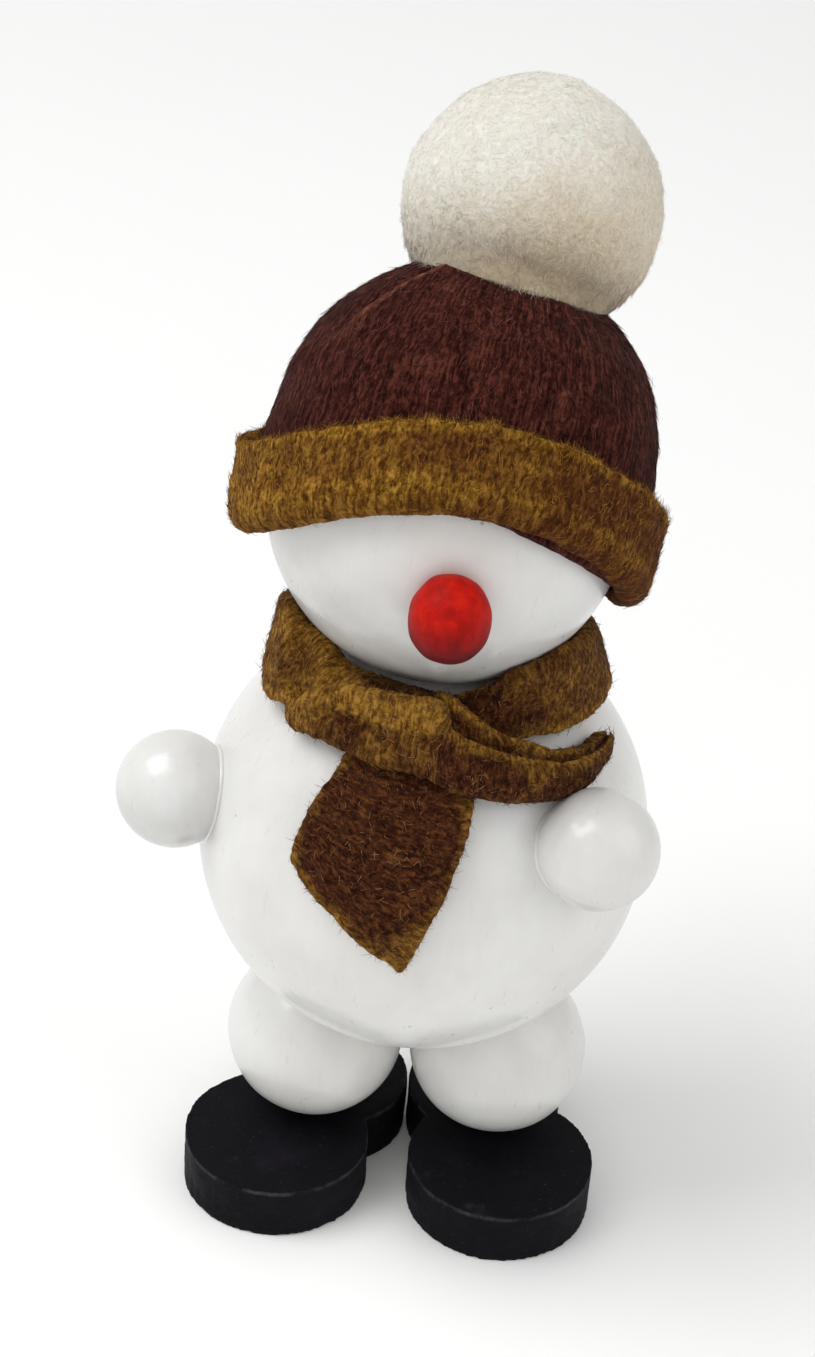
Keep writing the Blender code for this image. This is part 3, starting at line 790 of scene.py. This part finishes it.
def fibre_material(name, *stops, sheen=0.02):
    made, node, link = new_material(name, Roughness=0.9, Sheen_Weight=sheen, Sheen_Roughness=0.4,
                                    Specular_IOR_Level=0.06)
    own = node("Attribute", attribute_name="shade").outputs["Fac"]
    place = node("TexCoord").outputs["Object"]
    patch = clouds(node, place, 160.0, 3.0)
    moved = node("Math", {0: own, 1: tones(node, patch, -0.18, 0.18, 0.3, 0.7)}, operation="ADD")
    link(colours(node, moved.outputs[0], *stops), "Base Color")
    return made


def outside_crown(points, normals):
    """Only on its outer side, and above the brim."""
    inside = hat_place(points)
    outward = hat_place(points + normals) - inside
    radial = inside[:, :2] / (reach_of(inside)[:, None] + 1e-9)
    faces_out = (outward[:, :2] * radial).sum(1) + outward[:, 2] > 0.2
    return faces_out * (inside[:, 2] > brim_edge(turn_of(inside)) + 10.0 * MM) + 1e-6


finished(crown, "hat", "maroon_felt", maroon_felt, "hat_crown")
crown_fuzz = tufts("crown_fibres", crown, count=11000, length=2.4 * MM, thick=0.075 * MM, lift=0.12 * MM,
                   lean=-hat_up, seed=41, weights=outside_crown, curl=0.45)
finished(crown_fuzz, "hat", "maroon_felt",
         fibre_material("maroon_fibre", (0.1, (0.015, 0.0032, 0.0026)), (0.5, (0.050, 0.0120, 0.0082)),
                        (0.85, (0.125, 0.038, 0.026)), (1.0, (0.20, 0.078, 0.054))))

# ------------------------------------------------------------------ hat brim
# A strip of mustard and brown felt, sewn round the crown's lower edge and turned up over it: a
# rounded fold below, and a cut edge above that stands off a little.
BRIM_HEIGHT = 11.5 * MM
BRIM_FELT = 2.0 * MM
# Middle of the felt, from the toe tucked under the crown, round the fold, up to the cut edge:
# radius, and height above the lower edge.
BRIM_SECTION = ((23.9, 1.9), (24.3, 1.15), (25.0, 0.95), (25.65, 1.6), (26.0, 3.0), (26.1, 5.0),
                (26.05, 7.5), (26.15, 9.6), (26.5, 11.0))


def brim_grid(steps, columns):
    section = curve_through([(r * MM, h * MM) for r, h in BRIM_SECTION], columns)
    grid = np.zeros((steps, columns, 3))
    for step in range(steps):
        turn = 2 * math.pi * step / steps
        wave = noise.noise(Vector((3 * math.cos(turn), 3 * math.sin(turn), 7)))
        ripple = noise.noise(Vector((9 * math.cos(turn), 9 * math.sin(turn), 3)))
        share = np.clip(section[:, 1] / BRIM_HEIGHT, 0, 1)
        height = brim_edge(turn) + section[:, 1] + share * (0.45 * wave + 0.25 * ripple) * MM
        radius = section[:, 0] - hug(height) + share * (0.22 * wave + 0.16 * ripple) * MM
        grid[step, :, 0] = radius * math.sin(turn)
        grid[step, :, 1] = -radius * math.cos(turn)
        grid[step, :, 2] = height
    return grid


brim = felt_sheet("felt_brim", in_hat(brim_grid(240, 26)), BRIM_FELT, True)
uneven(brim, 0.28 * MM, 4.0 * MM, 33)
uneven(brim, 0.18 * MM, 0.7 * MM, 34)
inside = hat_place(vertices_of(brim))
turn = turn_of(inside)
up_brim = (inside[:, 2] - brim_edge(turn)) / BRIM_HEIGHT
# painted highlight: mustard at the cut edge and above the fold, browner between them; painted light
# and shade: more mustard on the left, browner towards the right; the rest is the felt's own mix
mustard_and_painted_light = 0.32 + 0.80 * np.clip((up_brim - 0.80) / 0.15, 0, 1)
mustard_and_painted_light += 0.38 * np.exp(-((up_brim - 0.28) / 0.12) ** 2)
mustard_and_painted_light += 0.40 * np.clip(-np.sin(turn), 0, 1) - 0.42 * np.clip(np.sin(turn), 0, 1) ** 1.3
marked(brim, "mustard_and_painted_light", mustard_and_painted_light)
mustard_felt = felt("mustard_felt", ((0.036, 0.0100, 0.0028), (0.078, 0.0245, 0.0058), (0.15, 0.055, 0.012)),
                    ((0.060, 0.023, 0.0032), (0.185, 0.082, 0.0086), (0.38, 0.200, 0.030)),
                    (340.0, 9.0), "mustard_and_painted_light")
finished(brim, "hat", "mustard_felt", mustard_felt, "hat_brim")


def outside_brim(points, normals):
    """On its outer side, and most at the cut edge."""
    inside = hat_place(points)
    radial = inside[:, :2] / reach_of(inside)[:, None]
    outward = hat_place(points + normals) - inside
    up = (inside[:, 2] - brim_edge(turn_of(inside))) / BRIM_HEIGHT
    return ((outward[:, :2] * radial).sum(1) > 0.1) + 3.0 * (up > 0.92) + 1e-6


brim_fuzz = tufts("brim_fibres", brim, count=12000, length=1.25 * MM, thick=0.07 * MM, lift=0.22 * MM,
                  lean=hat_up, seed=42, weights=outside_brim, curl=0.5)
finished(brim_fuzz, "hat", "mustard_felt",
         fibre_material("mustard_fibre", (0.1, (0.045, 0.014, 0.004)), (0.45, (0.13, 0.050, 0.008)),
                        (0.75, (0.28, 0.135, 0.019)), (1.0, (0.42, 0.23, 0.042))))

# ------------------------------------------------------------------ pompom
# A ball of felted white wool, glued to the crown.  Its underside is pressed to the dome, bulges
# out a little over it in front, and its fibres spread over the edge.
low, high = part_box("pompom")
pompom_radius = (high.x - low.x) / 2
pompom_centre = Vector(((low.x + high.x) / 2, high.y - pompom_radius, high.z - pompom_radius))
POMPOM_DROOP = 1.7 * MM
SEAT_GAP = 0.15 * MM


def seat_under(spots):
    """Height of the crown below each point of the pompom, in the hat's frame."""
    side = np.array(CROWN_SIDE) * MM
    return np.interp(reach_of(spots), side[:, 0], side[:, 1]) + SEAT_GAP


def pompom_ball():
    clean_slate()
    bpy.ops.mesh.primitive_ico_sphere_add(subdivisions=7, radius=pompom_radius, location=pompom_centre)
    ball = bpy.context.object
    ball.name = "wool_pompom"
    in_place(ball)
    uneven(ball, 0.36 * MM, 6.0 * MM, 35)
    uneven(ball, 0.13 * MM, 1.6 * MM, 36)
    uneven(ball, 0.08 * MM, 0.6 * MM, 37)
    spots = hat_place(vertices_of(ball))
    above = np.clip((spots[:, 2] - seat_under(spots)) / (4.5 * MM), 0, 1)
    around = spots[:, :2] / (reach_of(spots)[:, None] + 1e-9)
    droop = POMPOM_DROOP * (1 - above) ** 2 * np.clip((-0.3 - around[:, 1]) / 0.7, 0, 1)
    droop *= np.clip(reach_of(spots) / (8 * MM), 0, 1)
    spots[:, :2] += around * droop[:, None]
    spots[:, 2] -= 0.5 * droop
    spots[:, 2] = np.maximum(spots[:, 2], seat_under(spots))
    ball.data.vertices.foreach_set("co", in_hat(spots).ravel().astype(np.float32))
    ball.data.update()
    return ball


def felted_wool():
    """Painted light and shade: white above, warmer on the right and below, and darker where it meets the
    crown.
    """
    made, node, link = new_material("felted_wool", Roughness=0.95, Sheen_Weight=0.25, Sheen_Roughness=0.5,
                                    Subsurface_Weight=0.12, Subsurface_Scale=1.0 * MM,
                                    Specular_IOR_Level=0.15)
    place = node("TexCoord").outputs["Object"]
    patch = clouds(node, place, 90.0, 3.0)
    curl = clouds(node, place, 900.0, 4.0, 0.7, distortion=2.0)
    # painted light and shade: a lit white copy and a warmer, darker shaded copy, mixed towards the lower
    # right
    light = colours(node, curl, (0.32, (0.68, 0.64, 0.56)), (0.5, (0.82, 0.80, 0.73)),
                    (0.66, (0.90, 0.89, 0.84)))
    shaded_warm = colours(node, curl, (0.32, (0.60, 0.50, 0.36)), (0.5, (0.74, 0.65, 0.50)),
                   (0.66, (0.83, 0.76, 0.62)))
    drawn = node("Mapping", {"Vector": place, "Location": -pompom_centre})
    way = node("VectorMath", {0: drawn.outputs[0], 1: tuple(hat_up * -0.8 + Vector((0.6, -0.1, 0)))},
               operation="DOT_PRODUCT")
    shaded = node("Math", {0: tones(node, way.outputs["Value"], -0.1, 1.0, -3.0 * MM, 12.0 * MM),
                           1: tones(node, patch, -0.2, 0.2, 0.35, 0.65)}, operation="ADD",
                  use_clamp=True)
    lit = mixed(node, shaded.outputs[0], light, shaded_warm)
    # painted shade, darkest where the ball sits on the crown
    down = node("VectorMath", {0: drawn.outputs[0], 1: tuple(-hat_up)}, operation="DOT_PRODUCT")
    near_seat = tones(node, down.outputs["Value"], 0.0, 1.0, -0.05 * pompom_radius, 0.62 * pompom_radius)
    seat_shade = colours(node, near_seat, (0.0, (0.91, 0.90, 0.885)), (0.6, (0.80, 0.77, 0.72)),
                     (1.0, (0.50, 0.45, 0.385)))
    link(mixed(node, 1.0, lit, seat_shade, "MULTIPLY"), "Base Color")
    link(bumps(node, curl, 0.6, 0.3 * MM), "Normal")
    return made


pompom = pompom_ball()
finished(pompom, "hat", "white_wool", felted_wool(), "pompom")


def wool_lies(root):
    """Curled every way on the ball, and brushed down over the crown near the seat."""
    near_seat = np.clip((33 * MM - hat_place(root)[:, 2]) / (4 * MM), 0, 1)[:, None]
    return -np.array(hat_up) * near_seat * 1.4


def wool_weights(points, normals):
    """Hardly any on the pressed underside, and more round its edge."""
    height = hat_place(points)[:, 2]
    outward = (hat_place(points + normals) - hat_place(points))[:, 2]
    return np.where(outward < -0.93, 0.02, 1.0) + 1.2 * ((height < 33.5 * MM) & (outward > -0.9))


def wool_painted_shade(root):
    """Painted shade: greyer towards the seat."""
    down = (np.array(pompom_centre) - root) @ np.array(hat_up)
    return 0.60 * np.clip((down / pompom_radius - 0.10) / 0.5, 0, 1)


pompom_fuzz = tufts("pompom_fibres", pompom, count=12000, length=1.6 * MM, thick=0.06 * MM, lift=0.24 * MM,
                    lean=wool_lies, seed=43, weights=wool_weights, curl=0.9, shades=(0.45, 1.0),
                    painted_shade=wool_painted_shade)
finished(pompom_fuzz, "hat", "white_wool",
         fibre_material("wool_fibre", (0.0, (0.31, 0.265, 0.21)), (0.3, (0.60, 0.54, 0.45)),
                        (0.5, (0.74, 0.70, 0.62)), (0.9, (0.84, 0.82, 0.77)), sheen=0.2))

# ------------------------------------------------------------------ scarf
# One strip of chocolate and mustard melange felt, cut slantwise at both ends, wound once round
# the neck.  The end from the right hangs in front; the end from the left is turned up into a
# roll where it crosses over it, and is thrown to the right.
SCARF_FELT = 2.0 * MM
ACROSS = 7


def outwards(turn, rise):
    """The way out of a ball, round from its front and up, in degrees."""
    turn, rise = math.radians(turn), math.radians(rise)
    return Vector((math.cos(rise) * math.sin(turn), -math.cos(rise) * math.cos(turn), math.sin(rise)))


def on_body(turn, rise, lift):
    """A point off the body ball by so many mm."""
    return body_centre + outwards(turn, rise) * (body_radius + lift * MM)


def on_head(turn, below, off):
    """A point off the head ball by so many mm, below its middle."""
    return head_centre + outwards(turn, -below) * (head_radius + off * MM)


def flat_on_body(lower, upper, belly=0.0):
    """The strip lying on the body between two edges, each a turn, rise and lift."""
    row = []
    for step in range(ACROSS):
        part = step / (ACROSS - 1)
        turn, rise, lift = (a + (b - a) * part for a, b in zip(lower, upper))
        row.append(on_body(turn, rise, lift + belly * math.sin(math.pi * part)))
    return row


def up_collar(turn, rise, lift, below, off, flap=9.0, bow=0.3):
    """Standing between the balls: up from the body, folded in at the top, down under the head."""
    low, top = on_body(turn, rise, lift), on_head(turn, below, off)
    face = [low.lerp(top, part) + outwards(turn, 0) * bow * MM * math.sin(math.pi * part)
            for part in (0, 0.34, 0.68)]
    crest = top + Vector((0, 0, 0.25 * MM))
    inner = [on_head(turn, below + flap * part, off + 0.1) for part in (0.3, 0.65, 1.0)]
    return [*face, crest, *inner]


def turned_up(turn, *places):
    """Turned up over itself: from the free edge in front, down round the fold, up behind."""
    return [on_body(turn, rise, lift) for rise, lift in places]


# Rows across the strip: up from the hanging end, round the neck from the right to the left, and
# out along the thrown end.
STRIP = [
    flat_on_body((-1, -2, 1.15), (-31.5, 19.5, 1.3), 0.5),
    flat_on_body((3.5, 8.5, 1.2), (-31, 26, 1.35), 0.6),
    flat_on_body((9.5, 21.5, 1.3), (-30, 33, 1.4), 0.6),
    flat_on_body((14, 34, 1.5), (-28.5, 41, 1.5), 0.5),
    flat_on_body((16.5, 43, 1.7), (-25.5, 49.5, 1.7), 0.3),
    flat_on_body((19, 47, 2.0), (-16, 57, 2.2), 0.2),
    flat_on_body((23, 49.5, 2.1), (2, 62, 2.8), 0.2),
    up_collar(29, 52.3, 2.0, 42.0, 1.5, flap=5),
    up_collar(38, 52.3, 1.9, 37.5, 1.1, flap=8),
    up_collar(50, 51.2, 1.8, 35.0, 1.05),
    up_collar(62, 50.0, 1.8, 34.5, 1.05),
    up_collar(76, 48.6, 1.9, 37.5, 1.4),
    up_collar(90, 47.2, 2.2, 41.0, 2.3),
    up_collar(108, 45.8, 2.6, 43.5, 3.7, flap=7),
    up_collar(125, 44.8, 2.7, 45.2, 4.1, flap=6),
    up_collar(152, 45.0, 2.7, 45.6, 4.1, flap=6),
    up_collar(180, 45.2, 2.7, 45.7, 4.0, flap=6),
    up_collar(206, 45.6, 2.6, 45.4, 3.9, flap=6),
    up_collar(230, 46.0, 2.4, 44.8, 3.6, flap=7),
    up_collar(248, 46.6, 2.1, 43.6, 3.1, flap=8),
    up_collar(265, 47.2, 1.8, 41.0, 2.2, bow=0.1),
    up_collar(280, 47.4, 1.8, 36.0, 1.5, bow=0.1),
    up_collar(295, 47.0, 2.1, 33.0, 1.1),
    [*turned_up(-51, (51.4, 3.9), (49.4, 3.4), (47.4, 2.6), (49.0, 2.4), (55.0, 4.4)),
     on_head(-51, 42, 1.2), on_head(-51, 48, 1.2)],
    [*turned_up(-40, (54.5, 5.7), (52.4, 6.3), (50.0, 4.8), (47.0, 3.3), (51.5, 3.4), (57.5, 5.3)),
     on_head(-40, 52, 1.25)],
    [*turned_up(-30, (57.4, 6.2), (55.3, 7.6), (52.4, 5.6), (47.0, 3.9), (51.5, 3.7), (58.5, 4.9)),
     on_head(-30, 56, 1.3)],
    [*turned_up(-18, (58.2, 6.1), (56.1, 7.9), (53.2, 5.6), (46.4, 4.2), (51.5, 3.8), (58.5, 4.6)),
     on_head(-18, 59, 1.35)],
    [*turned_up(-6, (58.4, 6.1), (56.3, 7.8), (53.2, 5.6), (45.2, 4.2), (51.0, 3.8), (58.5, 4.6)),
     on_head(-6, 61, 1.4)],
    [*turned_up(3, (58.2, 6.1), (56.0, 7.5), (52.4, 5.6), (43.8, 4.2), (50.0, 3.8), (57.5, 4.7)),
     on_head(3, 61, 1.5)],
    turned_up(8, (53.6, 6.0), (50.4, 6.0), (46.8, 5.3), (42.6, 4.1), (49.0, 3.8), (55.5, 4.7), (61.5, 5.6)),
    turned_up(22, (48.4, 5.9), (45.8, 6.0), (42.6, 5.2), (39.4, 4.0), (43.5, 3.6), (48.5, 4.5), (54.0, 5.6)),
    turned_up(36, (44.8, 4.7), (42.8, 4.9), (40.3, 4.3), (38.0, 3.0), (40.8, 2.6), (44.5, 3.4), (49.2, 4.6)),
    turned_up(49, (42.6, 3.6), (41.2, 3.8), (39.5, 3.3), (38.0, 2.2), (39.8, 1.8), (42.2, 2.3), (45.8, 3.1)),
    turned_up(61, (41.8, 2.9), (40.9, 3.0), (39.9, 2.7), (38.9, 1.7), (40.1, 1.4), (41.8, 1.7), (44.3, 2.3)),
    turned_up(72, (41.9, 2.2), (41.6, 2.3), (41.1, 2.1), (40.7, 1.5), (41.2, 1.3), (42.1, 1.5), (43.5, 1.8)),
]


def strip_grid(along, across):
    rough = curve_through([[tuple(point) for point in row] for row in STRIP], along)
    grid = np.zeros((along, across, 3))
    for index, row in enumerate(rough):
        grid[index] = curve_through(row, across)
    return grid


strip = strip_grid(330, 25)
scarf = felt_sheet("felt_scarf", strip, SCARF_FELT, False)
uneven(scarf, 0.40 * MM, 5.0 * MM, 38)
uneven(scarf, 0.22 * MM, 0.9 * MM, 39)

lay = np.zeros((len(scarf.data.vertices), 2))
where = np.empty(len(scarf.data.loops) * 2)
scarf.data.uv_layers["lay"].data.foreach_get("uv", where)
owner = np.empty(len(scarf.data.loops), np.int32)
scarf.data.loops.foreach_get("vertex_index", owner)
lay[owner] = where.reshape(-1, 2)
along, across = lay[:, 0], lay[:, 1]
edge = np.minimum(np.minimum(across, 1 - across) / 0.10, np.minimum(along, 1 - along) / 0.012)
off_body = vertices_of(scarf) - np.array(body_centre)
distance = np.linalg.norm(off_body, axis=1)
rise = np.degrees(np.arcsin(off_body[:, 2] / distance))
turn = np.degrees(turn_of(off_body))
lift = (distance - body_radius) / MM
# painted highlight on the roll, the lightest, and along the cut edges; painted light on the collar's
# left; painted shade on the thrown end, browner, and the hanging one, darkest; the felt's own mix under it
roll = (np.clip((turn + 48) / 8, 0, 1) * np.clip((6 - turn) / 3, 0, 1) * np.clip((rise - 51.5) / 1.5, 0, 1)
        * np.clip((lift - 5.0) / 0.8, 0, 1))
collar = np.where(turn < -35, 0.58, 0.40) * np.clip((along - 0.17) / 0.05, 0, 1)
thrown = (turn > 4) & (rise < 57) & (along > 0.6)
toned = np.where(thrown, 0.12, collar - 0.05) + 0.6 * np.exp(-np.clip(edge, 0, 9) ** 2)
marked(scarf, "mustard_and_painted_light", np.clip(np.maximum(toned, 1.25 * roll), -1, 1.3))
brown_felt = felt("brown_felt", ((0.014, 0.0038, 0.0020), (0.044, 0.0132, 0.0050), (0.105, 0.036, 0.0110)),
                  ((0.075, 0.030, 0.005), (0.20, 0.092, 0.013), (0.39, 0.205, 0.036)),
                  (430.0, 15.0), "mustard_and_painted_light")
finished(scarf, "figure", "brown_felt", brown_felt, "scarf")


def seen_scarf(points, normals):
    """Fewer fibres on the side that lies on the body."""
    away = points - np.array(body_centre)
    away /= np.linalg.norm(away, axis=1)[:, None]
    return np.where((away * normals).sum(1) > -0.3, 1.0, 0.15)


scarf_fuzz = tufts("scarf_fibres", scarf, count=12000, length=1.4 * MM, thick=0.07 * MM, lift=0.18 * MM,
                   lean=(0, 0, 0), seed=44, weights=seen_scarf, curl=1.0)
finished(scarf_fuzz, "figure", "brown_felt",
         fibre_material("scarf_fibre", (0.1, (0.040, 0.0135, 0.005)), (0.5, (0.115, 0.044, 0.012)),
                        (0.8, (0.25, 0.125, 0.032)), (1.0, (0.34, 0.20, 0.095))))
